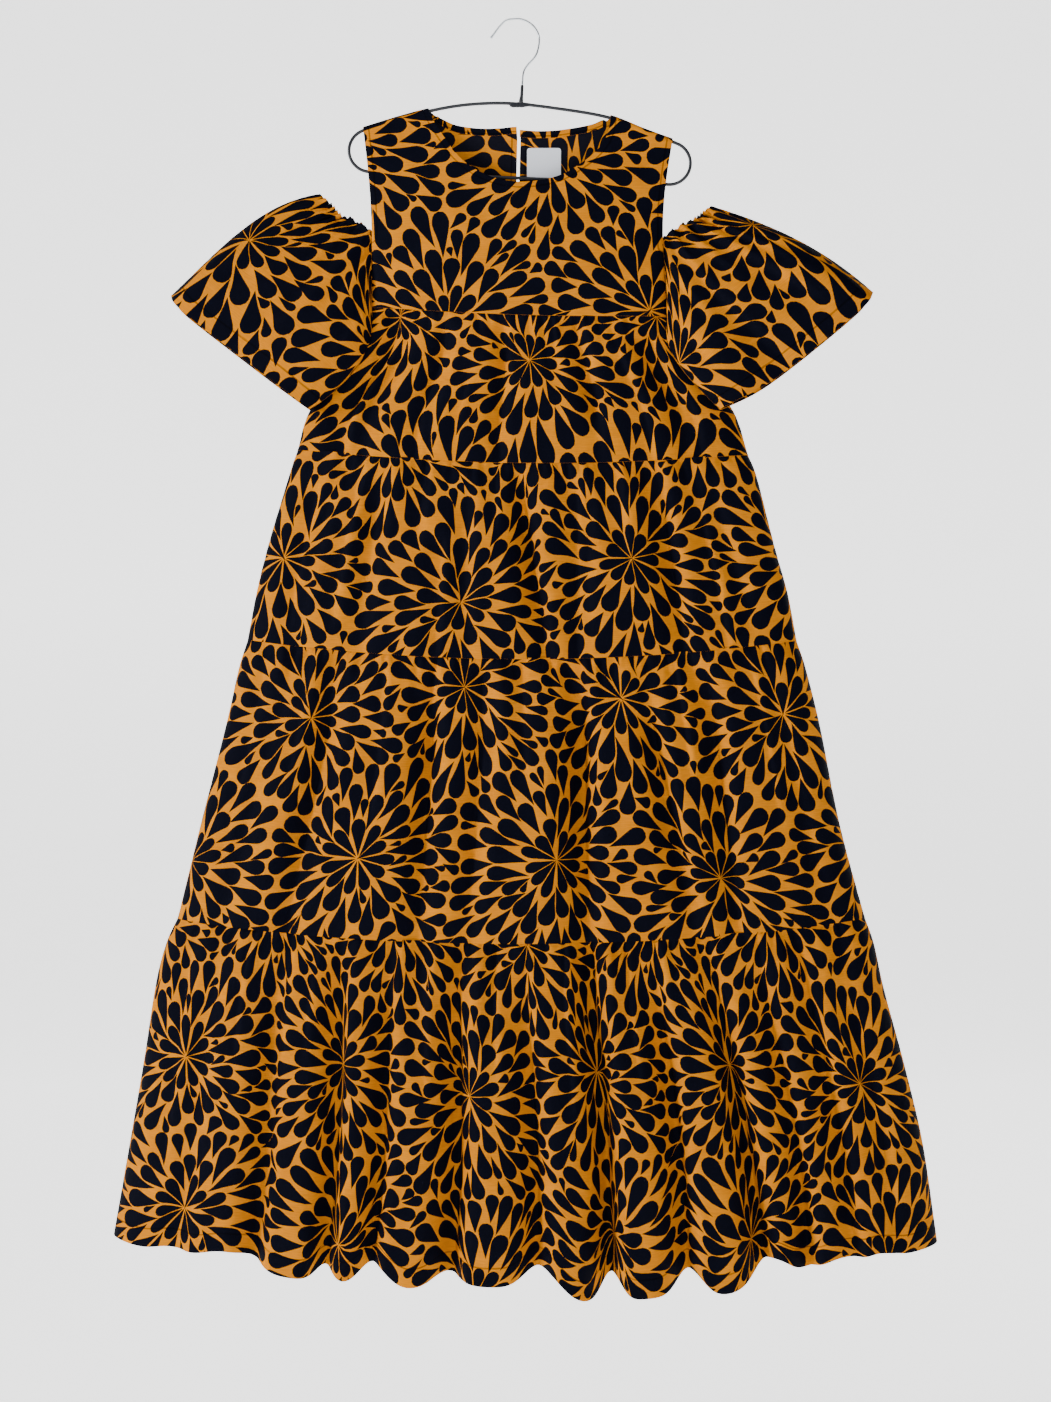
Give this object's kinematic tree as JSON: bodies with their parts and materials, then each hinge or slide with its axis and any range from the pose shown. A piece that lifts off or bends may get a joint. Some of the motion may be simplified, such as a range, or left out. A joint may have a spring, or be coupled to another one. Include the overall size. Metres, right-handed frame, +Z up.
{
  "type": "tiered dress on a wire hanger",
  "caption": "Cold-shoulder dress in gathered tiers with short flared sleeves, hanging empty from a wire hanger.",
  "frame": {"origin": "inner crest of the hanger's hook, where it hangs on a rail", "axes": "+Z up, the dress's front faces -Y, +X to the right of a viewer in front"},
  "size_m": [0.969, 0.1398, 1.4888],
  "materials": {
    "printed_cotton": "matt woven cotton, orange ground with dark navy drops",
    "label_satin": "soft satin, pale",
    "black_wire": "semi-gloss black coating",
    "bright_wire": "bright plated"
  },
  "bodies": {
    "root": {"yoke_front": "printed_cotton", "yoke_back": "printed_cotton", "neck_facing_left": "printed_cotton", "neck_facing_right": "printed_cotton", "chest_tier_front": "printed_cotton", "chest_tier_back": "printed_cotton", "upper_skirt_front": "printed_cotton", "upper_skirt_back": "printed_cotton", "middle_skirt_front": "printed_cotton", "middle_skirt_back": "printed_cotton", "lower_skirt_front": "printed_cotton", "lower_skirt_back": "printed_cotton", "sleeve_left": "printed_cotton", "sleeve_right": "printed_cotton", "neck_label": "label_satin", "hanger_arm": "black_wire", "hanger_bar": "black_wire", "hanger_joint": "black_wire", "hanger_hook": "bright_wire"}
  },
  "joints": []
}
